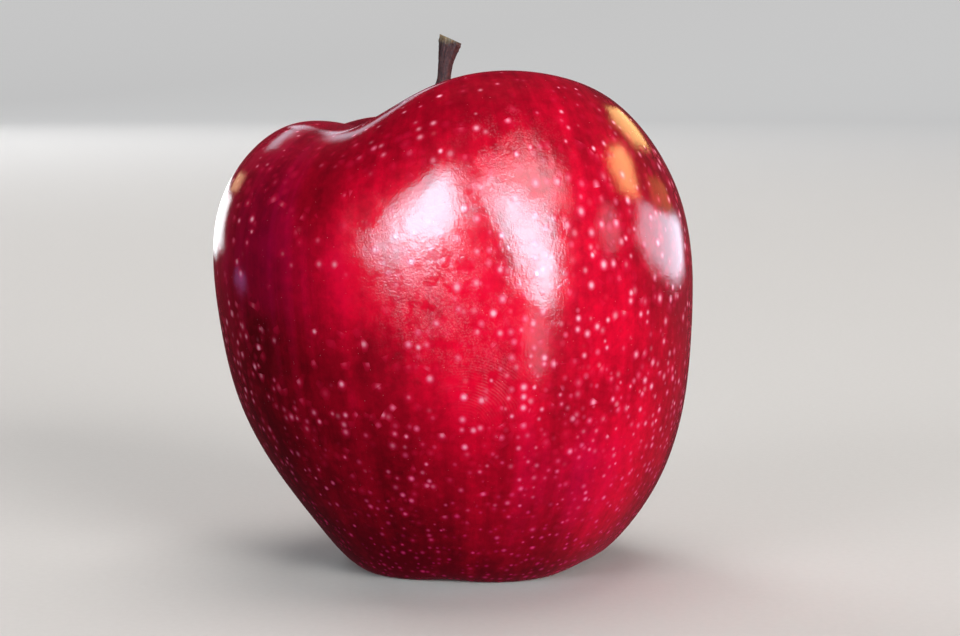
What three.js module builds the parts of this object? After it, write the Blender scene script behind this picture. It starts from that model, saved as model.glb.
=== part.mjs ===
// A whole red apple with its stem, standing on the lobes of its base.
// Millimetres, +Z up, front towards -Y. The fruit is one grown solid. The stem, the five dried
// sepals and the dried stamens underneath are pieces of their own.

import * as THREE from "three";
import { mergeVertices } from "three/addons/utils/BufferGeometryUtils.js";

// ---------------------------------------------------------------- driving dimensions

// Mean outline of the fruit as [radius, height]: control points of a smooth curve that runs from the
// floor of the stem cavity, over the crown and down the side, round the base and up into the basin.
const OUTLINE = [
  [0.0, 62.0],
  [3.0, 64.0],
  [8.0, 71.5],
  [15.6, 77.3],
  [25.7, 79.7],
  [33.5, 73.6],
  [38.9, 63.5],
  [40.4, 52.1],
  [39.5, 39.9],
  [38.0, 28.0],
  [33.9, 16.5],
  [27.4, 6.4],
  [20.3, -1.8],
  [12.6, 0.2],
  [7.0, 6.0],
  [3.6, 9.6],
  [0.0, 10.6],
];

// Where along the outline, from 0 to 1, each feature sits and how far it spreads.
const CROWN = { at: 0.24, spread: 0.13 };
const SHOULDER = { at: 0.22, spread: 0.2 };
const BASE = { at: 0.72, spread: 0.12 };
const KNOBS = { at: 0.8, spread: 0.07 };
const CALM_RADIUS = 12; // inside this radius the lobes fade out towards the axis

// Furrows that part the five lobes of the crown: direction and spread in degrees, depth in mm.
const FURROWS = [
  { towards: 234, depth: 4.7, spread: 19.5 },
  { towards: 322, depth: 0.8, spread: 22 },
  { towards: 24, depth: 3.5, spread: 22 },
  { towards: 92, depth: 2.6, spread: 22 },
  { towards: 153, depth: 3.3, spread: 18 },
];
const FURROW_PINCH = 0.012; // how far each mm of depth also draws the crown in

// The shoulder stands higher on one side, and the crown has two high flanks.
const SHOULDER_RISE = { towards: 296, height: 4.0, atRadius: 25 };
const FLANK_RISE = { towards: 300, height: 2.5 };

// Five lobes round the base that the apple stands on. Between two lobes the skin draws in and lifts
// a little outside, and lifts more on the inside, so that they end in knobs round the basin.
const BASE_LOBES = { count: 5, towards: 300, pinch: 0.03, lift: 0.4, knobLift: 0.9, softness: 0.35 };
const BASE_SWELL = 0.1; // the base is fuller towards +X
const OVAL = 0.018; // the fruit is slightly longer across X than across Y

// The core leans: its axis moves along X between the base and the crown.
const LEAN = { low: 1.2, high: -1.8, lowHeight: 38, lowSpread: 14, highHeight: 60, highSpread: 9 };

const BODY_GRID = { around: 64, along: 40 };

const GAP = 0.3; // between pieces that grow out of each other

const STEM = {
  topX: -0.5,
  topY: -0.6,
  topHeight: 89.8,
  bowX: -3.2,
  bowHeight: 78,
  radius: 1.15,
  footRadius: 1.9,
  tipRadius: 1.75,
  tipSlant: 0.45,
  oval: 0.86,
  footFade: 5,
  tipFade: 4,
};
const STEM_GRID = { around: 16, along: 16 };

const SEPAL = {
  count: 5,
  rootRadius: 3.7,
  rootDrop: 1.8,
  waistRadius: 1.0,
  waistDrop: 5.4,
  tipRadius: 6.0,
  tipDrop: 7.6,
  rootWidth: 3.2,
  thickness: 0.5,
  firstTowards: 258,
};
const SEPAL_GRID = { across: 4, along: 9 };

const TUFT = { radius: 0.95, length: 4.2, flutes: 5, fluteDepth: 0.16 };
const TUFT_GRID = { around: 20, along: 6 };

// ---------------------------------------------------------------- curves and grids

const radians = THREE.MathUtils.degToRad;
const bell = (x, { at, spread }) => Math.exp(-(((x - at) / spread) ** 2));
const towards = (turn, degrees) => Math.cos(turn - radians(degrees));
const settle = (x) => 1 / (1 + Math.exp(-x));

// Uniform cubic B-spline through the outline, mirrored over the axis so that both ends are smooth.
function outlineAt(along) {
  const last = OUTLINE.length - 1;
  const point = (i) => {
    if (i < 0) return [-OUTLINE[-i][0], OUTLINE[-i][1]];
    if (i > last) return [-OUTLINE[2 * last - i][0], OUTLINE[2 * last - i][1]];
    return OUTLINE[i];
  };
  const span = Math.min(Math.floor(along * last), last - 1);
  const f = along * last - span;
  const weights = [(1 - f) ** 3, 3 * f ** 3 - 6 * f ** 2 + 4, -3 * f ** 3 + 3 * f ** 2 + 3 * f + 1, f ** 3];
  const blend = (axis) =>
    weights.reduce((sum, weight, i) => sum + (weight * point(span - 1 + i)[axis]) / 6, 0);
  return { radius: Math.max(blend(0), 0), height: blend(1) };
}

// 0 on the ridge of a base lobe and 1 in the furrow between two.
function betweenBaseLobes(turn) {
  const { count, softness } = BASE_LOBES;
  const wave = Math.hypot(Math.cos((count / 2) * (turn - radians(BASE_LOBES.towards))), softness);
  const ridge = Math.hypot(1, softness);
  return (ridge - wave) / (ridge - softness);
}

function crownFurrows(turn) {
  return FURROWS.reduce((sum, furrow) => {
    const sharpness = 1 / radians(furrow.spread) ** 2;
    return sum + furrow.depth * Math.exp(sharpness * (towards(turn, furrow.towards) - 1));
  }, 0);
}

function leanAt(height) {
  const low = LEAN.low * settle((LEAN.lowHeight - height) / LEAN.lowSpread);
  const high = LEAN.high * settle((height - LEAN.highHeight) / LEAN.highSpread);
  return low + high;
}

// The skin of the fruit: turn is the angle about Z, along runs from the stem cavity to the basin.
function skinPoint(turn, along) {
  const { radius, height } = outlineAt(along);
  const fade = radius ** 2 / (radius ** 2 + CALM_RADIUS ** 2);
  const crown = bell(along, CROWN) * fade;
  const base = bell(along, BASE) * fade;
  const knobs = bell(along, KNOBS) * fade;
  const furrow = crownFurrows(turn);
  const notch = betweenBaseLobes(turn);

  let r = radius * (1 - FURROW_PINCH * crown * furrow - BASE_LOBES.pinch * base * notch);
  r *= 1 + fade * OVAL * Math.cos(2 * turn);
  r *= 1 + base * BASE_SWELL * Math.cos(turn);

  const { towards: side, height: rise, atRadius } = SHOULDER_RISE;
  let z = height - crown * furrow;
  z += (BASE_LOBES.lift * base + BASE_LOBES.knobLift * knobs) * notch;
  z += bell(along, SHOULDER) * (radius / atRadius) * rise * towards(turn, side);
  z += crown * FLANK_RISE.height * Math.cos(2 * (turn - radians(FLANK_RISE.towards)));

  return new THREE.Vector3(r * Math.cos(turn) + leanAt(z), r * Math.sin(turn), Math.max(z, 0));
}

// A closed surface of rings: pointAt(turn, step) is on the skin, and the first and last rings shrink
// to the two poles. Rings run from the top of the piece to its bottom.
function ringedGeometry(pointAt, around, along, firstPole, lastPole) {
  const positions = [firstPole.toArray()];
  for (let j = 0; j < along; j += 1) {
    for (let i = 0; i < around; i += 1) {
      positions.push(pointAt((2 * Math.PI * i) / around, j).toArray());
    }
  }
  positions.push(lastPole.toArray());

  const end = positions.length - 1;
  const index = [];
  for (let i = 0; i < around; i += 1) {
    const next = (i + 1) % around;
    index.push(0, 1 + i, 1 + next);
    for (let j = 0; j < along - 1; j += 1) {
      const upper = 1 + j * around;
      const lower = upper + around;
      index.push(upper + i, lower + i, lower + next);
      index.push(upper + i, lower + next, upper + next);
    }
    const bottom = 1 + (along - 1) * around;
    index.push(end, bottom + next, bottom + i);
  }
  return closedGeometry(positions, index);
}

function closedGeometry(positions, index) {
  const geometry = new THREE.BufferGeometry();
  geometry.setAttribute("position", new THREE.Float32BufferAttribute(positions.flat(), 3));
  geometry.setIndex(index);
  const merged = mergeVertices(geometry, 1e-4);
  merged.computeVertexNormals();
  return merged;
}

// ---------------------------------------------------------------- the pieces

const CAVITY_FLOOR = skinPoint(0, 0);
const BASIN_FLOOR = skinPoint(0, 1);

function bodyGeometry() {
  const { around, along } = BODY_GRID;
  const pointAt = (turn, step) => skinPoint(turn, (step + 1) / (along + 1));
  return ringedGeometry(pointAt, around, along, CAVITY_FLOOR, BASIN_FLOOR);
}

// The stalk: level sections along a bowed line, swollen at the foot and at the cut tip.
function stemGeometry() {
  const foot = CAVITY_FLOOR.clone().add(new THREE.Vector3(0, 0, GAP));
  const bow = new THREE.Vector3(STEM.bowX, 0, STEM.bowHeight);
  const top = new THREE.Vector3(STEM.topX, STEM.topY, STEM.topHeight - STEM.tipSlant * STEM.tipRadius);
  const line = new THREE.QuadraticBezierCurve3(foot, bow, top);
  const length = line.getLength();
  const { around, along } = STEM_GRID;

  const pointAt = (turn, step) => {
    const up = 1 - step / (along - 1);
    const centre = line.getPoint(up);
    const fromFoot = (up * length) / STEM.footFade;
    const fromTip = ((1 - up) * length) / STEM.tipFade;
    let r = STEM.radius;
    r += (STEM.footRadius - STEM.radius) * Math.exp(-(fromFoot ** 2));
    r += (STEM.tipRadius - STEM.radius) * Math.exp(-(fromTip ** 2));
    const x = r * Math.cos(turn);
    const y = r * STEM.oval * Math.sin(turn);
    const slant = STEM.tipSlant * x * Math.exp(-(fromTip ** 2));
    const heel = step === along - 1 ? 1.0 : 0;
    return new THREE.Vector3(centre.x + x, centre.y + y, centre.z - slant + heel);
  };
  return ringedGeometry(pointAt, around, along, top, foot);
}

// A dried sepal: a thin blade that closes in over the basin and curls out again at its tip.
function sepalGeometry() {
  const line = new THREE.QuadraticBezierCurve3(
    new THREE.Vector3(SEPAL.rootRadius, 0, -SEPAL.rootDrop),
    new THREE.Vector3(SEPAL.waistRadius, 0, -SEPAL.waistDrop),
    new THREE.Vector3(SEPAL.tipRadius, 0, -SEPAL.tipDrop),
  );
  const { across, along } = SEPAL_GRID;
  const positions = [];
  for (let j = 0; j <= along; j += 1) {
    const s = j / along;
    const centre = line.getPoint(s);
    const tangent = line.getTangent(s);
    const inward = new THREE.Vector3(tangent.z, 0, -tangent.x);
    const width = SEPAL.rootWidth * (1 - 0.88 * s ** 1.4);
    const thickness = SEPAL.thickness * (1 - 0.5 * s);
    for (const face of [-0.5, 0.5]) {
      for (let i = 0; i <= across; i += 1) {
        const side = (2 * i) / across - 1;
        const cup = 0.22 * width * side ** 2;
        const point = centre.clone().addScaledVector(inward, face * thickness + cup);
        point.y += (side * width) / 2;
        positions.push(point.toArray());
      }
    }
  }

  // Each station is a closed loop of 2 * (across + 1) points: down one face and back up the other.
  const wide = across + 1;
  const loop = [];
  for (let i = 0; i < wide; i += 1) loop.push(i);
  for (let i = wide - 1; i >= 0; i -= 1) loop.push(wide + i);
  const index = [];
  for (let j = 0; j < along; j += 1) {
    for (let k = 0; k < loop.length; k += 1) {
      const a = 2 * wide * j + loop[k];
      const b = 2 * wide * j + loop[(k + 1) % loop.length];
      index.push(a, a + 2 * wide, b);
      index.push(b, a + 2 * wide, b + 2 * wide);
    }
  }
  for (let i = 0; i < across; i += 1) {
    const far = 2 * wide * along;
    index.push(i, i + 1, wide + i);
    index.push(i + 1, wide + i + 1, wide + i);
    index.push(far + i, far + wide + i, far + i + 1);
    index.push(far + i + 1, far + wide + i, far + wide + i + 1);
  }
  return closedGeometry(positions, index);
}

// The withered stamens and styles: a small fluted tuft hanging from the floor of the basin.
function tuftGeometry() {
  const top = new THREE.Vector3(0, 0, -GAP);
  const tip = new THREE.Vector3(0, 0, -GAP - TUFT.length);
  const { around, along } = TUFT_GRID;
  const pointAt = (turn, step) => {
    const s = (step + 0.5) / along;
    const taper = Math.sqrt(Math.sin(Math.PI * (0.25 + 0.7 * s)));
    const r = TUFT.radius * taper * (1 + TUFT.fluteDepth * Math.cos(TUFT.flutes * turn));
    return new THREE.Vector3(r * Math.cos(turn), r * Math.sin(turn), -GAP - TUFT.length * s);
  };
  return ringedGeometry(pointAt, around, along, top, tip);
}

// ---------------------------------------------------------------- the assembly

const skin = { color: 0xa10a26, roughness: 0.28, metalness: 0 };
const bark = { color: 0x5a3426, roughness: 0.75, metalness: 0 };
const husk = { color: 0x6b4a30, roughness: 0.9, metalness: 0 };

function piece(name, geometry, look) {
  const mesh = new THREE.Mesh(geometry, new THREE.MeshStandardMaterial(look));
  mesh.name = name;
  return mesh;
}

const fruit = new THREE.Group();
fruit.add(piece("apple_body", bodyGeometry(), skin));
fruit.add(piece("stem", stemGeometry(), bark));

const calyx = new THREE.Group();
calyx.position.copy(BASIN_FLOOR);
for (let i = 0; i < SEPAL.count; i += 1) {
  const sepal = piece(`sepal_${i + 1}`, sepalGeometry(), husk);
  sepal.rotation.z = radians(SEPAL.firstTowards + (360 * i) / SEPAL.count);
  calyx.add(sepal);
}
calyx.add(piece("stamen_tuft", tuftGeometry(), husk));
fruit.add(calyx);

// The origin is under the middle of the fruit, on the surface that it stands on.
const box = new THREE.Box3().setFromObject(fruit, true);
fruit.position.set(-(box.min.x + box.max.x) / 2, -(box.min.y + box.max.y) / 2, -box.min.z);

const apple = new THREE.Group();
apple.add(fruit);

export default apple;
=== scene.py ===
"""A whole red apple with its stem and dried calyx, on a plain pale stage."""

import math

import bpy
import numpy as np
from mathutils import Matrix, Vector


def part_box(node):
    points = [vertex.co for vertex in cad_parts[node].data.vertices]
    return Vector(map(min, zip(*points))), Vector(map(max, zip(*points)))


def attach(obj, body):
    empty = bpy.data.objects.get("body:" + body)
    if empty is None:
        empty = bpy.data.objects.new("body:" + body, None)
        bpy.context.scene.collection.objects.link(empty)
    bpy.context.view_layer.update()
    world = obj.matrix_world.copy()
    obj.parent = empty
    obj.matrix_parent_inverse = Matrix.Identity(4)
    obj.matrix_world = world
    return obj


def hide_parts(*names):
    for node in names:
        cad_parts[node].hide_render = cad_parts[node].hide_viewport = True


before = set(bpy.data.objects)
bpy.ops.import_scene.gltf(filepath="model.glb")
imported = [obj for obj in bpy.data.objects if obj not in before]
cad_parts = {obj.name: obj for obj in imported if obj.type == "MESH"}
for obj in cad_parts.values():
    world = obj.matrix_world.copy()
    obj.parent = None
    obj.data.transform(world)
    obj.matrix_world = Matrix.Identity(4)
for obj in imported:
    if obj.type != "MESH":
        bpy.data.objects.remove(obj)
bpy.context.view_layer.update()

bl_info = {
    "name": "Red Apple",
    "version": (1, 0, 0),
    "blender": (4, 5, 0),
    "location": "3D View > Sidebar > Apple",
    "description": "Builds a lobed red apple with its stem and calyx around a fixed frame",
    "category": "Add Mesh",
}

MM = 0.001
TURN = 2 * math.pi

# ---------------------------------------------------------------- the shape of the fruit, in mm

# Control points (radius, height) of the mean outline: stem cavity, crown, side, base, basin.
OUTLINE = np.array([
    (0.0, 62.0), (3.0, 64.0), (8.0, 71.5), (15.6, 77.3), (25.7, 79.7), (33.5, 73.6),
    (38.9, 63.5), (40.4, 52.1), (39.5, 39.9), (38.0, 28.0), (33.9, 16.5), (27.4, 6.4),
    (20.3, -1.8), (12.6, 0.2), (7.0, 6.0), (3.6, 9.6), (0.0, 10.6),
])

# Where along the outline, from 0 to 1, each feature sits, and how far it spreads.
CROWN, SHOULDER, BASE, KNOBS = (0.24, 0.13), (0.22, 0.20), (0.72, 0.12), (0.80, 0.07)
CALM_RADIUS = 12.0

# Furrows between the crown's lobes: direction in degrees, depth in mm, spread in degrees.
FURROWS = ((234, 4.7, 19.5), (322, 0.8, 22), (24, 3.5, 22), (92, 2.6, 22), (153, 3.3, 18))
FURROW_PINCH = 0.012
SHOULDER_RISE = (296, 4.0, 25.0)
FLANK_RISE = (300, 2.5)
BASE_LOBES, LOBE_TOWARDS, LOBE_SOFTNESS = 5, 300, 0.35
BASE_PINCH, BASE_LIFT, KNOB_LIFT = 0.03, 0.4, 0.9
BASE_SWELL, OVAL = 0.1, 0.018
LEAN_LOW, LEAN_HIGH = (1.2, 38.0, 14.0), (-1.8, 60.0, 9.0)


def bell(x, at, spread):
    """A rounded hump: the exponential of minus the square of the distance over the spread."""
    return np.exp(-(((x - at) / spread) ** 2))


def settle(x):
    """A soft switch from 0 to 1: one over one plus the exponential of minus x."""
    return 1 / (1 + np.exp(-x))


def spline(points, along):
    """Uniform cubic B-spline: each point is the four nearest control points blended by the cubic
    basis. The control polygon is mirrored over the axis, so both ends are smooth."""
    mirror = np.array([-1.0, 1.0])
    knots = np.vstack([points[1] * mirror, points, points[-2] * mirror])
    place = along * (len(points) - 1)
    span = np.minimum(place.astype(int), len(points) - 2)
    f = (place - span)[:, None]
    weights = ((1 - f) ** 3, 3 * f**3 - 6 * f**2 + 4, -3 * f**3 + 3 * f**2 + 3 * f + 1, f**3)
    return sum(w * knots[span + i] for i, w in enumerate(weights)) / 6


def skin(turn, along):
    """The skin in mm: the mean outline turned about Z, then cut by the furrows of the crown, raised
    on one shoulder, drawn in between the lobes of the base, made oval, and leaned along X."""
    outline = spline(OUTLINE, along)
    radius, height = outline[:, 0, None], outline[:, 1, None]
    along = along[:, None]
    turn = turn[None, :]
    fade = radius**2 / (radius**2 + CALM_RADIUS**2)
    crown, base, knobs = (bell(along, *place) * fade for place in (CROWN, BASE, KNOBS))

    furrow = sum(
        depth * np.exp((np.cos(turn - math.radians(to)) - 1) / math.radians(spread) ** 2)
        for to, depth, spread in FURROWS
    )
    wave = np.hypot(np.cos(BASE_LOBES / 2 * (turn - math.radians(LOBE_TOWARDS))), LOBE_SOFTNESS)
    ridge = math.hypot(1, LOBE_SOFTNESS)
    notch = (ridge - wave) / (ridge - LOBE_SOFTNESS)

    r = radius * (1 - FURROW_PINCH * crown * furrow - BASE_PINCH * base * notch)
    r = r * (1 + fade * OVAL * np.cos(2 * turn)) * (1 + base * BASE_SWELL * np.cos(turn))

    side, rise, at_radius = SHOULDER_RISE
    z = height - crown * furrow + (BASE_LIFT * base + KNOB_LIFT * knobs) * notch
    z = z + bell(along, *SHOULDER) * (radius / at_radius) * rise * np.cos(turn - math.radians(side))
    z = z + crown * FLANK_RISE[1] * np.cos(2 * (turn - math.radians(FLANK_RISE[0])))

    lean = LEAN_LOW[0] * settle((LEAN_LOW[1] - z) / LEAN_LOW[2])
    lean = lean + LEAN_HIGH[0] * settle((z - LEAN_HIGH[1]) / LEAN_HIGH[2])
    return np.stack([r * np.cos(turn) + lean, r * np.sin(turn), np.maximum(z, 0)], axis=-1)


# ---------------------------------------------------------------- meshes from grids

def ring_faces(rings, around):
    """Quads between neighbouring rings, and a fan to a pole at each end. The first vertex is the
    first pole, then the rings in order, then the last pole."""
    i = np.arange(around)
    after = (i + 1) % around
    upper = 1 + around * np.arange(rings - 1)[:, None]
    lower = upper + around
    quads = np.stack([upper + i, lower + i, lower + after, upper + after], axis=-1).reshape(-1, 4)
    first = np.stack([np.zeros_like(i), 1 + i, 1 + after], axis=-1)
    end = 1 + (rings - 1) * around
    last = np.stack([np.full_like(i, 1 + rings * around), end + after, end + i], axis=-1)
    return first.tolist() + quads.tolist() + last.tolist()


def make_piece(name, vertices, faces, attributes=()):
    """A smooth mesh object at the origin, in metres, with its vector or number attributes."""
    mesh = bpy.data.meshes.new(name)
    mesh.from_pydata(vertices.tolist(), [], faces)
    for title, values in attributes:
        kind, field = ("FLOAT_VECTOR", "vector") if values.ndim == 2 else ("FLOAT", "value")
        layer = mesh.attributes.new(title, kind, "POINT")
        layer.data.foreach_set(field, np.ascontiguousarray(values, dtype=np.float32).ravel())
    mesh.polygons.foreach_set("use_smooth", np.ones(len(mesh.polygons), dtype=bool))
    mesh.update()
    piece = bpy.data.objects.new(name, mesh)
    bpy.context.scene.collection.objects.link(piece)
    return piece


def with_poles(first, rings, last):
    """The two pole rows round a flattened grid of rings."""
    middle = rings.reshape(-1, rings.shape[-1])
    return np.vstack([np.atleast_2d(first), middle, np.atleast_2d(last)])


def capped(rings):
    """The grid of rings closed at both ends by the mean of its first and of its last ring."""
    return with_poles(rings[0].mean(0), rings, rings[-1].mean(0))


def place_fruit(points):
    """Moves points in mm from the fruit's own axis into the frame, in metres."""
    return (points + FRUIT_SHIFT) * MM


def fruit_shift():
    """The step, in mm, from the formula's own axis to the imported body's box."""
    low, high = (np.array(corner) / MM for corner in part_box("apple_body"))
    own = skin(np.linspace(0, TURN, 256, endpoint=False), np.linspace(0, 1, 160)).reshape(-1, 3)
    middle = (low + high) / 2 - (own.min(0) + own.max(0)) / 2
    return np.array([middle[0], middle[1], low[2] - own[:, 2].min()])


FRUIT_SHIFT = fruit_shift()
CAVITY_FLOOR = skin(np.zeros(1), np.zeros(1))[0, 0]
BASIN_FLOOR = skin(np.zeros(1), np.ones(1))[0, 0]


# ---------------------------------------------------------------- shader maths

class Value:
    """A shader socket. Python's operators on it add the Math nodes that work them out."""

    def __init__(self, shader, socket):
        self.shader = shader
        self.socket = socket

    def math(self, operation, *others):
        inputs = dict(enumerate((self, *others)))
        return self.shader.node("ShaderNodeMath", {"operation": operation}, inputs)

    def back(self, operation, other):
        return self.shader.node("ShaderNodeMath", {"operation": operation}, {0: other, 1: self})

    def __add__(self, other):
        return self.math("ADD", other)

    def __sub__(self, other):
        return self.math("SUBTRACT", other)

    def __mul__(self, other):
        return self.math("MULTIPLY", other)

    def __truediv__(self, other):
        return self.math("DIVIDE", other)

    def __pow__(self, other):
        return self.math("POWER", other)

    def __rsub__(self, other):
        return self.back("SUBTRACT", other)

    __radd__ = __add__
    __rmul__ = __mul__


class Shader:
    """One material and the few kinds of node that this object's finishes are made of."""

    def __init__(self, name):
        self.material = bpy.data.materials.new(name)
        self.material.use_nodes = True
        self.tree = self.material.node_tree
        self.tree.nodes.clear()

    @classmethod
    def over(cls, tree):
        """The same helper on a node tree that isn't a material's."""
        shader = cls.__new__(cls)
        shader.tree = tree
        tree.nodes.clear()
        return shader

    def node(self, kind, settings=None, inputs=None, output=0):
        """A new node: its settings, then its socket values or links. Returns one of its outputs."""
        node = self.tree.nodes.new(kind)
        for key, value in (settings or {}).items():
            setattr(node, key, value)
        for key, value in (inputs or {}).items():
            if isinstance(value, Value):
                self.tree.links.new(value.socket, node.inputs[key])
            else:
                node.inputs[key].default_value = value
        return Value(self, node.outputs[output]) if len(node.outputs) else None

    def place(self):
        """Object coordinates in millimetres."""
        where = self.node("ShaderNodeTexCoord", output="Object")
        return self.scaled(where, (1 / MM,) * 3)

    def scaled(self, vector, scale):
        inputs = {"Vector": vector, "Scale": scale}
        return self.node("ShaderNodeMapping", {"vector_type": "POINT"}, inputs)

    def attribute(self, name, output="Fac"):
        return self.node("ShaderNodeAttribute", {"attribute_name": name}, output=output)

    def split(self, vector):
        parts = self.node("ShaderNodeSeparateXYZ", inputs={0: vector})
        outputs = parts.socket.node.outputs
        return [Value(self, outputs[i]) for i in range(3)]

    def noise(self, vector, scale, detail=2.0, roughness=0.5):
        inputs = {"Vector": vector, "Scale": scale, "Detail": detail, "Roughness": roughness}
        return self.node("ShaderNodeTexNoise", {"normalize": True}, inputs)

    def cells(self, vector, scale, randomness=1.0):
        """Distance to the nearest cell point, and the cell's three random numbers."""
        inputs = {"Vector": vector, "Scale": scale, "Randomness": randomness}
        distance = self.node("ShaderNodeTexVoronoi", {"feature": "F1"}, inputs)
        colour = Value(self, distance.socket.node.outputs["Color"])
        return distance, self.split(colour)

    def step(self, value, low, high, start=0.0, end=1.0):
        """A smooth ramp from start at low to end at high, level outside."""
        settings = {"interpolation_type": "SMOOTHSTEP"}
        inputs = {"Value": value, "From Min": low, "From Max": high, "To Min": start, "To Max": end}
        return self.node("ShaderNodeMapRange", settings, inputs)

    def mix(self, factor, first, second):
        """A blend of two colours, each a colour or a socket."""
        first, second = (
            colour if isinstance(colour, Value) else (*colour, 1.0) for colour in (first, second)
        )
        inputs = {0: factor, 6: first, 7: second}
        settings = {"data_type": "RGBA", "clamp_factor": True}
        return self.node("ShaderNodeMix", settings, inputs, output=2)

    def bump(self, height, depth_mm, normal=None):
        """Height from 0 to 1 as a relief of the given depth."""
        inputs = {"Height": height, "Strength": 1.0, "Distance": depth_mm * MM}
        if normal is not None:
            inputs["Normal"] = normal
        return self.node("ShaderNodeBump", inputs=inputs)

    def finish(self, **sockets):
        """Joins the finished values to the surface shader and returns the material."""
        inputs = {key.replace("_", " "): value for key, value in sockets.items()}
        surface = self.node("ShaderNodeBsdfPrincipled", inputs=inputs)
        self.node("ShaderNodeOutputMaterial", inputs={"Surface": surface})
        return self.material


# ---------------------------------------------------------------- the skin

# How many pores to the mm along a line, at places from the stem (0) to the basin (1).
PORE_CELLS = (
    (0.0, 0.36), (0.26, 0.37), (0.38, 0.54), (0.52, 0.62), (0.64, 0.70), (0.74, 0.84), (1.0, 0.84),
)


def pore_space(turn, along):
    """A place for the pores in which a cell is as wide everywhere: the outline stretched by the
    number of cells per mm, with a height that keeps lengths along and across in step: each step of
    height is the root of the step's square less the square of the change in radius."""
    outline = spline(OUTLINE, along)
    steps = np.hypot(*np.diff(outline, axis=0).T)
    cells = np.interp(along, *zip(*PORE_CELLS))
    wide = cells * np.abs(outline[:, 0])
    middle = (cells[1:] + cells[:-1]) / 2
    drop = np.sqrt(np.maximum((middle * steps) ** 2 - np.diff(wide) ** 2, 0))
    height = -np.concatenate([[0], np.cumsum(drop)])
    shape = (len(along), len(turn))
    place = np.stack([
        wide[:, None] * np.cos(turn),
        wide[:, None] * np.sin(turn),
        np.broadcast_to(height[:, None], shape),
    ], axis=-1)
    return place, np.broadcast_to(cells[:, None], shape)


# Round patches on the skin: direction in degrees, height in mm, radius in mm, strength. Haze is
# matt wax, whose grain is tinted pink, partly as real bloom and partly as painted sheen, and the
# skin has fewer pores where it is sparse.
HAZE = (
    (286, 71, 9, 1.0), (262, 55, 9, 0.6), (290, 56, 8, 0.5), (268, 46, 9, 0.8), (279, 38, 6, 0.4),
    (252, 60, 6, 0.5), (225, 40, 10, 0.2), (130, 50, 14, 0.5), (40, 44, 12, 0.5),
    (185, 60, 10, 0.4),
)
# Bright patches raise the red: partly the skin's own blush, partly painted light where the key lamp
# falls on the front and the lower right.
BRIGHT = (
    (287, 52, 27, 0.85), (320, 13, 17, 0.60), (308, 34, 15, 0.32), (250, 62, 15, 0.5),
    (330, 60, 16, 0.1), (276, 12, 15, 0.35), (268, 47, 12, 0.35), (290, 72, 11, 0.30),
    (248, 50, 10, 0.25), (20, 46, 22, 0.6), (75, 58, 20, 0.5), (128, 40, 24, 0.7),
    (180, 56, 18, 0.35),
)
# Violet patches: partly the skin's own cool cast, partly a painted reflection low on the front
# right.
VIOLET = (
    (220, 58, 22, 0.38), (302, 20, 14, 0.40), (335, 60, 14, 0.3), (60, 40, 20, 0.4),
    (150, 30, 16, 0.4),
)
SPARSE = (
    (237, 60, 20, 0.62), (240, 38, 20, 0.42), (290, 84, 18, 0.52), (330, 46, 15, 0.30),
    (272, 18, 22, 0.28), (100, 52, 34, 0.45), (170, 50, 34, 0.45),
)
PRINT = ((279, 35.5, 4.2, 1.0),)

PATCH_AXIS = 38.0
PRINT_RIDGES = 0.46


def patches(points, places):
    """A sum of round patches, each fading as the exponential of minus the distance squared."""
    total = np.zeros(points.shape[:-1])
    for to, height, radius, strength in places:
        angle = math.radians(to)
        centre = np.array([PATCH_AXIS * math.cos(angle), PATCH_AXIS * math.sin(angle), height])
        total += strength * np.exp(-((np.linalg.norm(points - centre, axis=-1) / radius) ** 2))
    return total


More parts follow.
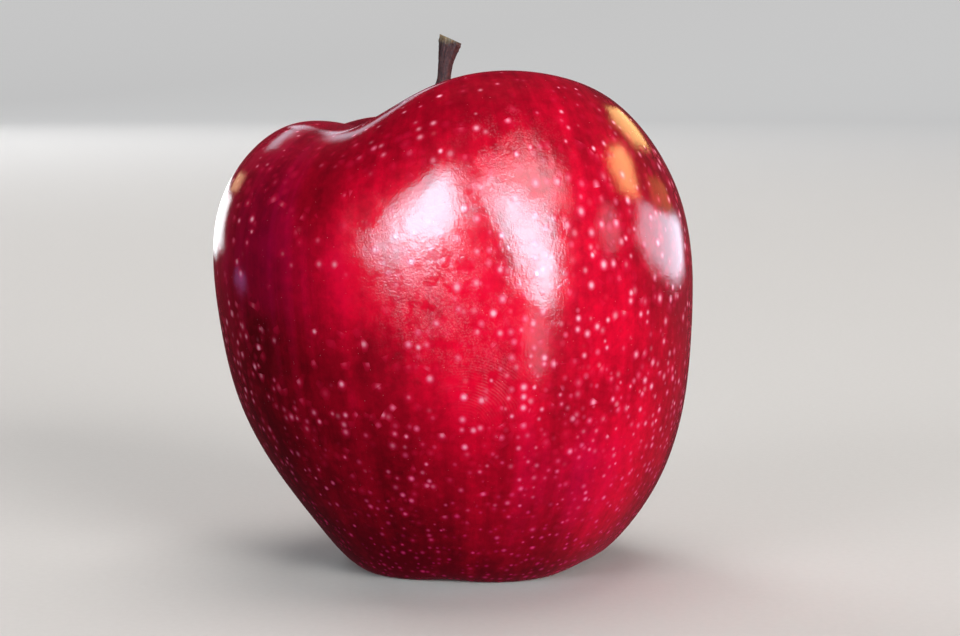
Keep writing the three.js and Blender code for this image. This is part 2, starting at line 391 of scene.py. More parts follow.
def skin_material(props):
    """Waxy crimson skin: streaks along the fruit, pale pores that crowd towards the base, a green
    and russet stem cavity, and wax that is polished in some places and hazy in others."""
    s = Shader("Fruit skin")
    place = s.place()
    meridian = s.attribute("meridian", "Vector")
    pores = s.attribute("pore_place", "Vector")
    cells = s.attribute("pore_cells")
    along = s.attribute("along")
    hazy = s.attribute("haze")
    printed = s.attribute("print")
    sparse = s.attribute("sparse")

    # Streaks run from the stem to the base; clouds are broad and soft.
    fine_streaks = s.noise(s.scaled(meridian, (13, 13, 1.6)), 1.0, 3.0, 0.6)
    broad_streaks = s.noise(s.scaled(meridian, (4.5, 4.5, 1.1)), 1.0, 2.0, 0.5)
    clouds = s.noise(place, 0.05, 3.0, 0.55)
    mottle = s.noise(place, 0.6, 4.0, 0.65)
    # The bright patches lift the tone: partly blush, partly painted light on the lamp-lit front.
    tone = 0.62 * s.attribute("bright") + 0.8 * (clouds - 0.5) + 0.38 * (fine_streaks - 0.5)
    tone = tone + 0.32 * (broad_streaks - 0.5) + 0.4 * (mottle - 0.5)
    # Darker towards the base: painted shade on the underside, where less light falls.
    tone = tone - 0.12 * s.step(along, 0.58, 0.75)
    colour = s.mix(s.step(tone, -0.15, 0.35), props.deep_red, props.red)
    colour = s.mix(s.step(tone, 0.20, 0.72), colour, props.bright_red)
    # Violet clouds: partly the skin's own cast, partly a painted reflection low on the front right.
    violet = s.attribute("violet") + 0.8 * (clouds - 0.5) + 0.6 * (fine_streaks - 0.5)
    colour = s.mix(0.6 * s.step(violet, 0.1, 0.9), colour, props.violet_red)

    # Pores: round, pale, soft at the edge, each with its own size and strength, some in a halo.
    # They are palest and largest round the middle, and small and dark pink near the base.
    low_down = s.step(along, 0.45, 0.72)
    pore_tint = s.mix(low_down, props.pore_colour, props.low_pore_colour)
    distance, (strength, size, glow) = s.cells(pores, 1.0, 0.88)
    away = distance / cells
    swelling = s.step(along, 0.22, 0.38, 0.66, 1.22)
    radius = (0.42 + 0.42 * size) * swelling * (1.0 - 0.38 * low_down)
    present = s.step(glow - sparse, 0.0, 0.12)
    faintest = 0.14 + 0.18 * low_down
    shown = (faintest + (1.0 - faintest) * strength**1.6) * present * (1.0 - 0.25 * low_down)
    dot = s.step(away / radius, 1.0, 0.25) * shown
    core = s.step(away / radius, 0.62, 0.1) * shown * (1.0 - 0.9 * low_down)
    halo = s.step(away / radius, 2.0, 0.6) * s.step(glow, 0.30, 1.0) * present
    specks, (speck_strength, _, _) = s.cells(pores, 2.1)
    speck = s.step(specks / cells, 0.15, 0.06) * s.step(speck_strength, 0.55, 0.9)
    speck = speck * (1.0 - low_down)
    open_skin = s.step(along, 0.10, 0.2)
    paler = 0.28 * halo * open_skin * (1.0 - 0.6 * low_down)
    colour = s.mix(paler, colour, props.halo_colour)
    colour = s.mix(0.9 * dot * open_skin, colour, pore_tint)
    colour = s.mix((0.9 * core + 0.5 * speck) * open_skin, colour, props.pore_core)

    # The stem cavity and the calyx basin are green with a corky russet net.
    net = s.noise(place, 0.9, 5.0, 0.7)
    ragged = along + (s.noise(s.scaled(meridian, (5, 5, 6)), 1.0, 3.0) - 0.5) * 0.09
    green = s.step(ragged, 0.15, 0.05)
    colour = s.mix(0.85 * green, colour, props.cavity_green)
    russet = s.step(ragged, 0.115, 0.03) * s.step(net, 0.40, 0.60)
    colour = s.mix(russet, colour, props.russet)
    basin = s.step(ragged, 0.90, 0.985)
    colour = s.mix(0.8 * basin, colour, props.basin_green)
    colour = s.mix(s.step(ragged, 0.955, 1.0) * s.step(net, 0.45, 0.6), colour, props.russet)

    # Wax: polished in most places, with a bloom of fine matt grain where it is hazy, and a smudged
    # fingerprint: arcs at an even spacing round a point beside it. The pink tint on the grain and
    # the ridges is partly real bloom and partly painted sheen, the light the grain catches round
    # the highlights.
    grain = s.noise(place, 3.0, 2.0, 0.6)
    smear = s.noise(place, 0.35, 3.0, 0.6)
    matt = s.step(hazy * s.step(smear, 0.30, 0.60), 0.05, 0.9)
    dull = s.step(along, 0.15, 0.05)
    arcs = s.node(
        "ShaderNodeVectorMath", {"operation": "DISTANCE"},
        {0: place, 1: props.print_centre}, output="Value",
    )
    arcs = arcs + 0.9 * s.noise(place, 0.3, 1.0)
    wave = (arcs * (TURN / PRINT_RIDGES)).math("SINE")
    ridges = printed * (0.5 + 0.5 * wave) * s.step(smear, 0.35, 0.55)
    rough = 0.060 + 0.05 * mottle + 0.11 * matt + 0.16 * ridges + 0.35 * dull
    bloom = 0.03 + 0.34 * matt * s.step(grain, 0.40, 0.62) + 0.6 * ridges
    # Pink tint: partly real bloom, partly painted sheen.
    powder_and_sheen = 0.10 * matt * s.step(grain, 0.5, 0.62) + 0.05 * ridges
    colour = s.mix(powder_and_sheen, colour, props.bloom_and_sheen_colour)

    # Relief: a slow ripple, a fine grain that is deeper in the bloom, and pores that stand proud.
    ripple = s.noise(place, 0.16, 1.0, 0.4)
    peel = s.noise(place, 1.5, 2.0, 0.6)
    normal = s.bump(ripple, 0.10)
    normal = s.bump(peel, 0.010, normal)
    normal = s.bump(grain * (0.30 + 1.2 * matt), 0.036, normal)
    normal = s.bump(dot + 0.6 * ridges + 1.5 * russet, 0.02, normal)

    return s.finish(
        Base_Color=colour, Roughness=rough, Coat_Weight=bloom, Normal=normal,
        Coat_Roughness=0.36, Coat_IOR=1.4, IOR=1.40,
        Sheen_Weight=0.22, Sheen_Roughness=0.45, Sheen_Tint=(1.0, 0.02, 0.10, 1.0),
    )


def colour_property(name, description, default):
    return bpy.props.FloatVectorProperty(
        name=name, description=description, default=default, size=3, min=0, max=1,
        subtype="COLOR",
    )


class SkinProperties(bpy.types.PropertyGroup):
    around: bpy.props.IntProperty(
        name="Around", description="Quads round the fruit", default=384, min=32, max=390
    )
    along: bpy.props.IntProperty(
        name="Along", description="Quads from the stem to the base", default=252, min=24, max=255
    )
    # Bright red is partly the skin's blush and partly painted light on the lamp-lit front.
    bright_red: colour_property("Bright red", "Blush and painted light", (0.88, 0.0006, 0.032))
    red: colour_property("Red", "Most of the skin", (0.34, 0.0004, 0.012))
    deep_red: colour_property("Deep red", "Shaded skin", (0.095, 0.0002, 0.003))
    violet_red: colour_property("Violet red", "Violet cloud and painted reflection", (0.40, 0.0006, 0.080))
    pore_colour: colour_property("Pore", "Round spot of a pore near the stem", (0.98, 0.15, 0.30))
    low_pore_colour: colour_property(
        "Low pore", "Round spot of a pore near the base", (1.0, 0.014, 0.22)
    )
    pore_core: colour_property("Pore core", "Pale middle of a pore", (1.0, 0.60, 0.68))
    halo_colour: colour_property("Halo", "Paler skin round a pore", (0.92, 0.010, 0.075))
    bloom_and_sheen_colour: colour_property("Bloom", "Hazy wax and painted sheen", (0.80, 0.16, 0.26))
    cavity_green: colour_property("Cavity", "Skin in the stem cavity", (0.30, 0.27, 0.05))
    basin_green: colour_property("Basin", "Skin in the calyx basin", (0.34, 0.22, 0.06))
    russet: colour_property("Russet", "Corky net on the skin", (0.27, 0.14, 0.045))
    print_centre: bpy.props.FloatVectorProperty(
        name="Fingerprint", description="Middle of its arcs, in mm",
        default=(1.5, -37.5, 28.0), size=3,
    )


class BuildApple(bpy.types.Operator):
    """Builds the skin of the fruit and its waxy finish"""

    bl_idname = "apple.body"
    bl_label = "Fruit"

    def execute(self, context):
        props = context.scene.apple_skin
        turn = np.linspace(0, TURN, props.around, endpoint=False)
        along = np.linspace(0, 1, props.along + 2)[1:-1]
        full = np.concatenate([[0], along, [1]])
        points = skin(turn, full)
        pores, cells = pore_space(turn, full)
        way = np.broadcast_to(full[:, None], cells.shape)
        meridian = np.stack([
            np.broadcast_to(np.cos(turn), way.shape),
            np.broadcast_to(np.sin(turn), way.shape),
            way,
        ], axis=-1)

        def poled(grid):
            """The grid with its first and last rows, which lie on the axis, drawn to poles."""
            flat = grid if grid.ndim == 3 else grid[..., None]
            stacked = with_poles(flat[0].mean(0), flat[1:-1], flat[-1].mean(0))
            return stacked if grid.ndim == 3 else stacked[:, 0]

        vertices = place_fruit(poled(points))
        attributes = (
            ("pore_place", poled(pores)),
            ("pore_cells", poled(cells)),
            ("meridian", poled(meridian)),
            ("along", poled(way)),
            ("haze", poled(patches(points, HAZE))),
            ("bright", poled(patches(points, BRIGHT))),
            ("sparse", poled(patches(points, SPARSE))),
            ("violet", poled(patches(points, VIOLET))),
            ("print", poled(patches(points, PRINT))),
        )
        piece = make_piece("fruit", vertices, ring_faces(props.along, props.around), attributes)
        piece.data.materials.append(skin_material(props))
        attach(piece, "root")
        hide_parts("apple_body")
        return {"FINISHED"}


# ---------------------------------------------------------------- the stem and the calyx

STEM_TOP = np.array([-0.5, -0.6, 89.0])
STEM_BOW = np.array([-3.2, 0.0, 78.0])
STEM_SINK, STEM_LENGTH, STEM_OVAL, STEM_SLANT = 0.9, 28.0, 0.86, 0.45
CUT = 0.1

# The stem's radius, and how much thicker its foot and tip are and over what length, in mm.
STEM_RADIUS, FOOT_SWELL, TIP_SWELL = 1.12, (1.5, 3.2), (0.60, 4)

# The line of a sepal in mm from the basin's floor: its start, its bend and its end.
SEPAL_LINE = ((4.2, 0, -0.7), (1.0, 0, -5.3), (6.0, 0, -7.4))
SEPAL_WIDTH, SEPAL_THICKNESS = 3.1, 0.42
SEPAL_COUNT, SEPAL_FIRST = 5, 258
STAMENS = 17


def bezier(start, bend, end, s):
    """A quadratic curve: the points weighted by (1 - s) squared, 2 s (1 - s) and s squared."""
    s = np.asarray(s)[..., None]
    return (1 - s) ** 2 * start + 2 * s * (1 - s) * bend + s**2 * end


def stem_surface(turn, way):
    """The stalk: level sections along a bowed line, swollen at the foot and the tip, with
    lengthwise bark ridges as sums of cosines. Way runs from the middle of the slanted cut, over its
    rim at CUT, down to the foot at 1."""
    foot = np.array([CAVITY_FLOOR[0], 0.0, CAVITY_FLOOR[2] - STEM_SINK])
    cut = np.clip(way / CUT, 0, 1)[:, None]
    up = 1 - np.clip((way - CUT) / (1 - CUT), 0, 1)
    centre = bezier(foot, STEM_BOW, STEM_TOP, up)[:, None]
    up = up[:, None]
    turn = turn[None, :]
    at_tip = np.exp(-(((1 - up) * STEM_LENGTH / TIP_SWELL[1]) ** 2))
    r = STEM_RADIUS + FOOT_SWELL[0] * np.exp(-((up * STEM_LENGTH / FOOT_SWELL[1]) ** 2))
    r = r + TIP_SWELL[0] * at_tip
    r = r + 0.22 * bell(up, 0.66, 0.035) * (1 + np.cos(turn - 2.2))
    ridges = 0.030 * np.cos(9 * turn + 5 * np.sin(3 * up)) + 0.020 * np.cos(17 * turn - 9 * up)
    ridges = ridges + 0.016 * np.cos(31 * turn + 14 * up) * np.cos(40 * up)
    rings = 0.012 * np.cos(150 * up + 2 * np.cos(turn)) * np.cos(23 * up)
    r = r * (1 + (ridges + rings) * (0.6 + 1.5 * at_tip)) * np.sqrt(1 - (1 - cut) ** 2)
    x, y = r * np.cos(turn), STEM_OVAL * r * np.sin(turn)
    fibres = 0.10 * np.cos(5 * turn + 3 * r) * np.cos(4 * r) + 0.06 * np.cos(11 * turn - 5 * r)
    dish = (cut < 1) * (-0.30 * (1 - cut**2) + fibres * cut * (1 - cut) * 3)
    z = centre[..., 2] - STEM_SLANT * x * at_tip + dish
    return np.stack([centre[..., 0] + x, centre[..., 1] + y, z], axis=-1)


def sepal_surface(index, turn, way):
    """A dried sepal: a lens-shaped section carried along a curve that closes in over the basin and
    curls out at the tip, with a midrib, rolled edges and a twist of its own."""
    line = bezier(*(np.array(point) for point in SEPAL_LINE), way)
    step = np.gradient(line, way, axis=0)
    step /= np.linalg.norm(step, axis=1)[:, None]
    inward = np.stack([step[:, 2], 0 * way, -step[:, 0]], axis=-1)[:, None]
    s = way[:, None]
    side, face = np.cos(turn)[None, :], np.sin(turn)[None, :]
    rounded = np.sqrt(1 - np.clip(s - 0.9, 0, 1) ** 2 * 99)
    width = SEPAL_WIDTH * (1 - 0.88 * s**1.4) * rounded
    thick = SEPAL_THICKNESS * (1 - 0.5 * s) * np.sqrt(1 - side**2 * 0.75)
    wrinkle = 0.06 * np.cos(22 * s + 3 * side + index) + 0.05 * np.cos(9 * side + 2 * index)
    rib = 0.14 * np.exp(-((side / 0.16) ** 2)) * (1 - s)
    lift = thick * face / 2 + 0.22 * width * side**2 + wrinkle - rib * (face < 0)
    twist = 0.35 * math.sin(2.4 * index) * s**2
    across = side * width / 2
    point = line[:, None] + inward * (lift + across * twist)[..., None]
    point = point + np.stack([0 * across, across, 0 * across], axis=-1)
    angle = math.radians(SEPAL_FIRST + 360 * index / SEPAL_COUNT)
    c, n = math.cos(angle), math.sin(angle)
    x, y, z = np.moveaxis(point, -1, 0)
    return np.stack([c * x - n * y, n * x + c * y, z], axis=-1) + BASIN_FLOOR


def stamen_surfaces(turn, way):
    """The withered stamens: thin threads that hang and splay from the floor of the basin, each with
    a swollen end. Each is a round section along a curve; the golden angle spreads them round."""
    n = np.arange(STAMENS)
    angle = n * math.pi * (3 - math.sqrt(5))
    out = 0.25 + 0.65 * np.sqrt(n / STAMENS)
    reach = 0.95 + 0.35 * np.cos(2.7 * n)
    length = 3.4 + 0.8 * np.cos(1.9 * n)
    ray = np.stack([np.cos(angle), np.sin(angle), 0 * angle], axis=-1)
    down = np.array([0, 0, -1.0])
    start = ray * out[:, None] * 0.6 - 0.4 * down
    bend = ray * out[:, None] + down * (0.5 * length)[:, None]
    end = ray * reach[:, None] * 0.95 + down * length[:, None]
    each = np.broadcast_to(way, (STAMENS, len(way)))
    line = bezier(start[:, None], bend[:, None], end[:, None], each)
    r = 0.10 + 0.16 * bell(way, 0.9, 0.09)
    section = r[:, None, None] * np.stack([np.cos(turn), np.sin(turn), 0 * turn], axis=-1)
    return line[:, :, None] + section + BASIN_FLOOR


def dry_material(name, dark, pale, way):
    """Dry bark or husk: lengthwise fibres and dark furrows. Way is a vector attribute whose third
    number runs along the piece."""
    s = Shader(name)
    fibre = s.noise(s.scaled(s.attribute(way, "Vector"), (5, 5, 0.9)), 1.0, 4.0, 0.65)
    fleck = s.noise(s.place(), 2.2, 4.0, 0.7)
    colour = s.mix(s.step(0.6 * fibre + 0.4 * fleck, 0.38, 0.66), dark, pale)
    return s, fibre, fleck, colour


def stem_material(props):
    """Bark: wine red above the foot, dark brown in the middle, and a tan fibrous cut."""
    s, fibre, fleck, colour = dry_material(
        "Stem bark", props.dark_bark, props.pale_bark, "stem_way"
    )
    up = s.split(s.attribute("stem_way", "Vector"))[2]
    lower = s.step(up + 3 * (fleck - 0.5), 19.5, 12.0)
    colour = s.mix(0.75 * lower, colour, props.wine_bark)
    foot = s.step(up + 2 * (fleck - 0.5), 6.0, 2.0)
    colour = s.mix(0.8 * foot, colour, props.green_foot)
    tip = s.step(up + 2.2 * (fibre - 0.5), 25.2, 26.8)
    colour = s.mix(0.9 * tip, colour, props.cut_wood)
    colour = s.mix(tip * s.step(fibre, 0.5, 0.36), colour, props.dark_bark)
    normal = s.bump(fibre, 0.12)
    normal = s.bump(fleck, 0.05, normal)
    return s.finish(
        Base_Color=colour, Roughness=0.5 + 0.3 * fibre, Normal=normal,
        IOR=1.4, Specular_IOR_Level=0.2,
    )


def husk_material(props):
    """Dry husk: brown with grey down along its veins."""
    s, fibre, fleck, colour = dry_material(
        "Calyx husk", props.dark_husk, props.pale_husk, "husk_way"
    )
    down = s.noise(s.scaled(s.place(), (3.0, 3.0, 1.2)), 2.0, 4.0, 0.8)
    colour = s.mix(0.5 * s.step(down, 0.52, 0.7), colour, props.down_grey)
    normal = s.bump(fibre, 0.10)
    normal = s.bump(down, 0.05, normal)
    return s.finish(Base_Color=colour, Roughness=0.75 + 0.2 * fleck, Normal=normal, IOR=1.4)


class StemProperties(bpy.types.PropertyGroup):
    dark_bark: colour_property("Dark bark", "Furrows of the bark", (0.040, 0.008, 0.010))
    pale_bark: colour_property("Pale bark", "Ridges of the bark", (0.13, 0.030, 0.026))
    wine_bark: colour_property("Wine bark", "Lower half of the stem", (0.28, 0.010, 0.030))
    green_foot: colour_property("Foot", "Where the stem leaves the flesh", (0.20, 0.15, 0.05))
    cut_wood: colour_property("Cut wood", "Dried cut at the tip", (0.36, 0.25, 0.13))


class CalyxProperties(bpy.types.PropertyGroup):
    dark_husk: colour_property("Dark husk", "Folds of the sepals", (0.060, 0.034, 0.018))
    pale_husk: colour_property("Pale husk", "Ridges of the sepals", (0.26, 0.16, 0.08))
    down_grey: colour_property("Down", "Short hairs on the husk", (0.42, 0.36, 0.27))


class BuildStem(bpy.types.Operator):
    """Grows the stem out of the floor of its cavity"""

    bl_idname = "apple.stem"
    bl_label = "Stem"

    def execute(self, context):
        props = context.scene.apple_stem
        turn = np.linspace(0, TURN, 72, endpoint=False)
        inside = CUT * np.linspace(0, 1, 14)[1:-1]
        way = np.concatenate([inside, np.linspace(CUT, 1, 170)])
        rings = stem_surface(turn, way)
        ends = stem_surface(turn, np.array([0.0, 1.0])).mean(axis=1)
        points = with_poles(ends[0], rings, ends[1])
        axis = rings.mean(axis=1, keepdims=True)
        up = np.broadcast_to(rings[..., 2:] - CAVITY_FLOOR[2], rings.shape[:2] + (1,))
        ways = np.concatenate([(rings - axis)[..., :2], up], axis=-1)
        faces = ring_faces(len(way), len(turn))
        piece = make_piece("stalk", place_fruit(points), faces, [("stem_way", capped(ways))])
        piece.data.materials.append(stem_material(props))
        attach(piece, "root")
        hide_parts("stem")
        return {"FINISHED"}


class BuildCalyx(bpy.types.Operator):
    """Hangs the dried sepals and stamens in the basin under the fruit"""

    bl_idname = "apple.calyx"
    bl_label = "Calyx"

    def execute(self, context):
        husk = husk_material(context.scene.apple_calyx)
        turn = np.linspace(0, TURN, 40, endpoint=False)
        way = np.linspace(0, 1, 48)
        for index in range(SEPAL_COUNT):
            points = capped(sepal_surface(index, turn, way))
            faces = ring_faces(len(way), len(turn))
            self.add(f"sepal_blade_{index + 1}", points, faces, husk, f"sepal_{index + 1}")

        turn = np.linspace(0, TURN, 10, endpoint=False)
        way = np.linspace(0, 1, 16)
        threads = [capped(rings) for rings in stamen_surfaces(turn, way)]
        count = len(threads[0])
        faces = [
            [corner + index * count for corner in face]
            for index in range(STAMENS)
            for face in ring_faces(len(way), len(turn))
        ]
        self.add("stamens", np.vstack(threads), faces, husk, "stamen_tuft")
        return {"FINISHED"}

    def add(self, name, points, faces, husk, node):
        ways = points - BASIN_FLOOR
        piece = make_piece(name, place_fruit(points), faces, [("husk_way", ways)])
        piece.data.materials.append(husk)
        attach(piece, "root")
        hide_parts(node)


# ---------------------------------------------------------------- the stage

# Soft lights, which light the fruit and aren't mirrored in it: name, compass direction from the
# front towards +X, height above the floor as an angle, width, height and distance in metres,
# brightness, colour.
SOFT_LIGHTS = (
    ("key", 38, 17, 1.15, 1.00, 2.3, 14.0, (1.0, 0.98, 0.96)),
    ("fill", -45, 18, 1.00, 1.00, 2.3, 5.3, (0.96, 0.97, 1.0)),
    ("side", 112, 2, 0.60, 0.30, 2.0, 22.0, (1.0, 0.97, 0.97)),
    ("overhead", 165, 76, 1.20, 1.20, 1.6, 3.4, (1.0, 0.98, 0.96)),
    ("back", -150, 25, 0.90, 0.90, 2.25, 6.0, (0.95, 0.97, 1.0)),
)

# How far a pane fades on either side of its corners, as a part of its reach from its middle.
SOFT_EDGE = 0.20
DAYLIGHT = (0.32, 0.86, 1.0)
SKYLIGHT = (0.76, 0.84, 1.0)
LAMPLIGHT = (1.0, 0.58, 0.22)
BLACK = (0.0, 0.0, 0.0)

# Window panes and lamps that only show as reflections: name, the spot of skin in mm that mirrors
# them, distance in metres, brightness, colour, and corners as compass direction and height in
# degrees.
PANES = (
    ("pane_left", (-4, -30, 61), 1.6, 20, DAYLIGHT,
     ((-8, 38), (9, 16), (0, 7), (-8, 0), (-36, -1), (-40, 6), (-30, 26), (-17, 38))),
    ("pane_left_core", (-4, -30, 61), 1.5, 36, DAYLIGHT,
     ((-5, 36), (6, 17), (-2, 6), (-16, 2), (-31, 5), (-30, 12), (-19, 28))),
    ("pane_right", (11, -37, 59), 0.27, 33, DAYLIGHT,
     ((12, 30), (30, 23), (43, 20), (50, 12), (51, -2), (47, -11), (39, -12), (30, -3), (22, 12),
      (14, 22))),
    ("pane_low", (13, -37, 41), 0.12, 3.5, SKYLIGHT,
     ((31, -9), (37, -6), (44, -9), (45, -16), (40, -22), (33, -18))),
    ("pane_dim", (12, -29, 67), 1.6, 10, (0.7, 0.85, 0.9),
     ((44, 44), (61, 29), (58, 16), (32, 21), (22, 28))),
    ("pane_side", (34, -20, 56), 0.5, 6.5, SKYLIGHT,
     ((106, 13), (120, 8), (146, 2), (143, -4), (128, -5), (106, -1), (98, 5))),
    ("pane_side_dim", (25, -30, 59), 0.9, 3, SKYLIGHT,
     ((82, 15), (86, 12), (86, 6), (80, 2), (75, 3), (74, 9))),
    ("lamp_far", (28, -17, 75), 1.3, 5.5, LAMPLIGHT,
     ((145, 26), (160, 14), (150, 12), (130, 20), (130, 28))),
    ("lamp_near", (27, -25, 68), 1.3, 12, LAMPLIGHT,
     ((107, 28), (121, 24), (113, 19), (106, 13), (95, 18), (97, 25))),
    ("lamp_glow", (34, -18, 64), 1.3, 1.5, (1.0, 0.40, 0.14),
     ((124, 16), (140, 9), (141, 3), (118, 9))),
    ("pane_hump", (-28, -14, 72), 1.3, 2.2, SKYLIGHT,
     ((-149, 24), (-165, 23), (-160, 32), (-146, 32))),
    ("pane_saddle", (-15, -6, 75), 1.3, 2.0, SKYLIGHT,
     ((-151, 32), (-163, 28), (-169, 12), (-170, 27))),
    ("lamp_left", (-35, -13, 66), 1.3, 2, (1.0, 0.66, 0.36),
     ((-152, 6), (-154, 10), (-140, 18), (-137, 13))),
    ("pane_left_edge", (-38, -10, 58), 0.5, 4.5, (0.9, 0.97, 1.0),
     ((-172, -5), (-172, 0), (-156, 5), (-142, 9), (-140, -3), (-154, -5))),
    ("pane_violet", (-34, -21, 50), 0.30, 1.5, (0.5, 0.35, 1.0),
     ((-122, -6), (-115, -6), (-113, -9), (-123, -9))),
)


def direction(compass, height):
    """The way from the object: compass angle from the front (-Y) towards +X, then up."""
    a, e = np.radians(compass), np.radians(height)
    return np.stack([np.cos(e) * np.sin(a), -np.cos(e) * np.cos(a), np.sin(e)], axis=-1)


def hang_soft_light(name, compass, height, wide, tall, distance, brightness, colour, target):
    """A rectangular light aimed at the target, and hidden from the camera and from reflections. Its
    power is pi times its brightness and its area."""
    light = bpy.data.lights.new(name, "AREA")
    light.shape = "RECTANGLE"
    light.size = wide
    light.size_y = tall
    light.energy = math.pi * brightness * wide * tall
    light.color = colour
    lamp = bpy.data.objects.new(name, light)
    lamp.visible_camera = False
    lamp.visible_glossy = False
    bpy.context.scene.collection.objects.link(lamp)
    way = Vector(direction(compass, height))
    lamp.location = Vector(target) + distance * way
    lamp.rotation_euler = way.to_track_quat("Z", "Y").to_euler()


def hang_pane(name, mirror, distance, brightness, colour, corners):
    """A glowing pane that shows only in reflections and fades out across a rim."""
    corners = np.array(mirror) * MM + distance * direction(*np.array(corners, dtype=float).T)
    middle, count = corners.mean(0), len(corners)
    reaches = (1 - SOFT_EDGE, 1 + SOFT_EDGE)
    points = np.vstack([middle + (corners - middle) * reach for reach in reaches])
    rim = [[i, count + i, count + (i + 1) % count, (i + 1) % count] for i in range(count)]
    glow = np.repeat([1.0, 0.0], count)
    pane = make_piece(name, points, [list(range(count)), *rim], [("glow", glow)])
    s = Shader(name)
    shade = s.mix(s.step(s.attribute("glow"), 0.0, 1.0), BLACK, colour)
    light = s.node("ShaderNodeEmission", inputs={"Color": shade, "Strength": brightness})
    s.node("ShaderNodeOutputMaterial", inputs={"Surface": light})
    pane.data.materials.append(s.material)
    pane.visible_camera = False
    pane.visible_diffuse = False
    pane.visible_shadow = False


def stage_material(props):
    """Matt paper with a faint mottle, and a glow that rises with the distance from the fruit, where
    the lights fall off."""
    s = Shader("Stage paper")
    place = s.place()
    grain = s.noise(place, 0.8, 3.0, 0.6)
    colour = s.mix(s.step(grain, 0.3, 0.7, 0.0, 0.08), props.paper, props.paper_mottle)
    away = s.node(
        "ShaderNodeVectorMath", {"operation": "LENGTH"}, {0: place}, output="Value"
    )
    lit = s.step(away, 400.0, 2600.0)
    glow = s.mix(lit, BLACK, props.backdrop_glow)
    return s.finish(
        Base_Color=colour, Roughness=0.8, Specular_IOR_Level=0.0,
        Emission_Color=glow, Emission_Strength=1.0,
    )


def studio_world(props):
    """An even glow that lights the scene. In reflections it is dim, and dimmer on the left."""
    world = bpy.data.worlds.new("Studio")
    world.use_nodes = True
    s = Shader.over(world.node_tree)
    mirrored = s.node("ShaderNodeLightPath", output="Is Glossy Ray")
    across, _, _ = s.split(s.node("ShaderNodeTexCoord", output="Generated"))
    dim = s.step(across, -0.3, 0.9, props.mirrored_left, props.mirrored_right)
    strength = mirrored * dim + (1.0 - mirrored) * props.ambient_strength
    inputs = {"Color": (*props.ambient, 1), "Strength": strength}
    background = s.node("ShaderNodeBackground", inputs=inputs)
    s.node("ShaderNodeOutputWorld", inputs={"Surface": background})
    return world


STAGE_AROUND = 96


def sweep(props):
    """A level disc whose rim curves up into a low wall along a quarter circle."""
    turn = np.linspace(0, TURN, STAGE_AROUND, endpoint=False)
    bend = np.linspace(0, math.pi / 2, 17)
    radius = np.concatenate([[0.3, 1.0], props.floor_radius + props.bend * np.sin(bend)])
    height = np.concatenate([[0, 0], props.bend * (1 - np.cos(bend))])
    radius = np.append(radius, radius[-1])
    height = np.append(height, props.wall_height)
    rings = np.stack([
        radius[:, None] * np.cos(turn),
        radius[:, None] * np.sin(turn),
        np.broadcast_to(height[:, None], (len(height), len(turn))),
    ], axis=-1)
    vertices = np.vstack([[[0, 0, 0]], rings.reshape(-1, 3)])
    i = np.arange(STAGE_AROUND)
    after = (i + 1) % STAGE_AROUND
    inner = 1 + STAGE_AROUND * np.arange(len(radius) - 1)[:, None]
    outer = inner + STAGE_AROUND
    quads = np.stack([inner + i, outer + i, outer + after, inner + after], axis=-1).reshape(-1, 4)
    fan = np.stack([np.zeros_like(i), 1 + i, 1 + after], axis=-1)
    return vertices, fan.tolist() + quads.tolist()


class StageProperties(bpy.types.PropertyGroup):
    paper: colour_property("Paper", "Colour of the stage", (0.62, 0.60, 0.58))
    paper_mottle: colour_property("Mottle", "Faint clouds in the paper", (0.45, 0.43, 0.41))
    backdrop_glow: colour_property("Backdrop glow", "Light far away", (0.34, 0.345, 0.35))
    floor_radius: bpy.props.FloatProperty(
        name="Floor", description="Level part of the stage", default=2.4, unit="LENGTH"
    )
    bend: bpy.props.FloatProperty(
        name="Bend", description="Radius of the curve up to the wall", default=1.0, unit="LENGTH"
    )
    wall_height: bpy.props.FloatProperty(
        name="Wall", description="Height of the wall", default=2.2, unit="LENGTH"
    )
    camera_distance: bpy.props.FloatProperty(
        name="Camera distance", description="From the core of the fruit", default=0.385,
        unit="LENGTH",
    )
    camera_height: bpy.props.FloatProperty(
        name="Camera height", description="Above the floor", default=0.0873, unit="LENGTH"
    )
    camera_aside: bpy.props.FloatProperty(
        name="Camera aside", description="To the right of the core", default=0.0045, unit="LENGTH"
    )
    camera_pitch: bpy.props.FloatProperty(
        name="Camera pitch", description="Downward tilt", default=math.radians(6.77),
        subtype="ANGLE",
    )
    lens: bpy.props.FloatProperty(
        name="Lens", description="Focal length", default=85.0, unit="CAMERA"
    )
    ambient: colour_property("Ambient", "Colour of the light from all round", (0.92, 0.96, 1.0))
    ambient_strength: bpy.props.FloatProperty(
        name="Ambient strength", description="Light from all round", default=0.16
    )
    mirrored_left: bpy.props.FloatProperty(
        name="Mirrored left", description="Room light that the left side mirrors", default=0.02
    )
    mirrored_right: bpy.props.FloatProperty(
        name="Mirrored right", description="Room light that the right side mirrors", default=0.07
    )


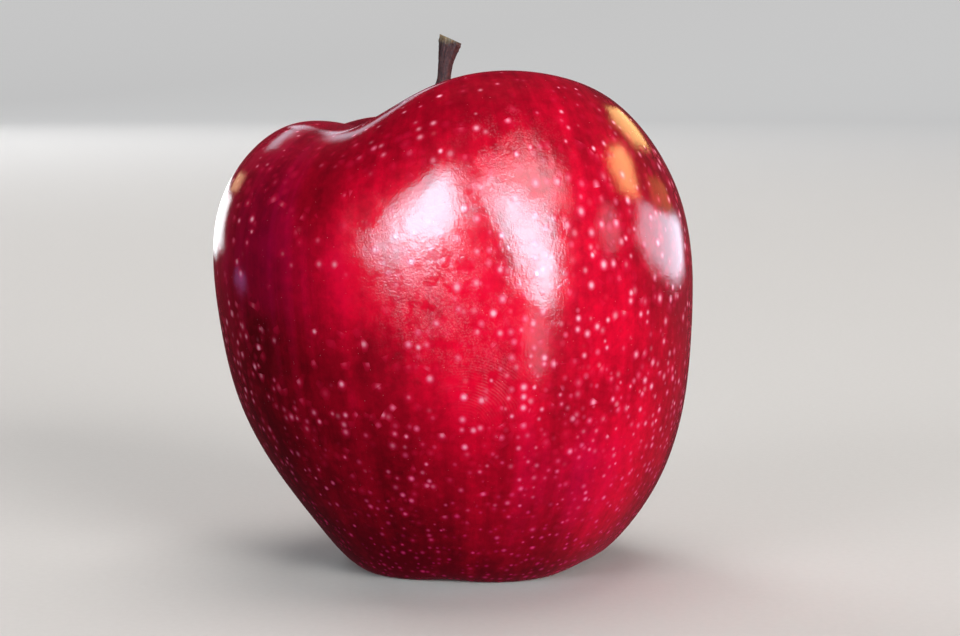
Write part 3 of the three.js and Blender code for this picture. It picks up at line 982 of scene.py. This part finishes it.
class BuildStage(bpy.types.Operator):
    """Lays the pale floor, hangs the soft lights and sets the camera"""

    bl_idname = "apple.stage"
    bl_label = "Stage"

    def execute(self, context):
        props = context.scene.apple_stage
        scene = context.scene
        floor = make_piece("floor", *sweep(props))
        floor.data.materials.append(stage_material(props))
        floor.visible_glossy = False
        floor.visible_diffuse = False

        low, high = (np.array(corner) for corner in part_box("apple_body"))
        middle = (low + high) / 2
        for light in SOFT_LIGHTS:
            hang_soft_light(*light, target=middle)
        for pane in PANES:
            hang_pane(*pane)

        scene.world = studio_world(props)

        camera = bpy.data.objects.new("camera", bpy.data.cameras.new("camera"))
        camera.data.lens = props.lens
        camera.data.sensor_width = 36
        camera.data.clip_start = 0.01
        camera.location = (
            middle[0] + props.camera_aside, middle[1] - props.camera_distance, props.camera_height
        )
        camera.rotation_euler = (math.pi / 2 - props.camera_pitch, 0, 0)
        scene.collection.objects.link(camera)
        scene.camera = camera
        scene.view_settings.view_transform = "Standard"
        return {"FINISHED"}


class APPLE_PT_panel(bpy.types.Panel):
    """Lists the steps that build the apple"""

    bl_label = "Apple"
    bl_space_type = "VIEW_3D"
    bl_region_type = "UI"
    bl_category = "Apple"

    def draw(self, context):
        for step in STEPS:
            self.layout.operator(step.bl_idname)


STEPS = (BuildStage, BuildApple, BuildStem, BuildCalyx)
GROUPS = (
    ("apple_skin", SkinProperties),
    ("apple_stem", StemProperties),
    ("apple_calyx", CalyxProperties),
    ("apple_stage", StageProperties),
)


def register():
    for name, group in GROUPS:
        bpy.utils.register_class(group)
        setattr(bpy.types.Scene, name, bpy.props.PointerProperty(type=group))
    for part in (*STEPS, APPLE_PT_panel):
        bpy.utils.register_class(part)


def unregister():
    for part in (APPLE_PT_panel, *reversed(STEPS)):
        bpy.utils.unregister_class(part)
    for name, group in reversed(GROUPS):
        delattr(bpy.types.Scene, name)
        bpy.utils.unregister_class(group)


def main():
    register()
    bpy.ops.apple.stage()
    bpy.ops.apple.body()
    bpy.ops.apple.stem()
    bpy.ops.apple.calyx()


if __name__ == "__main__":
    main()
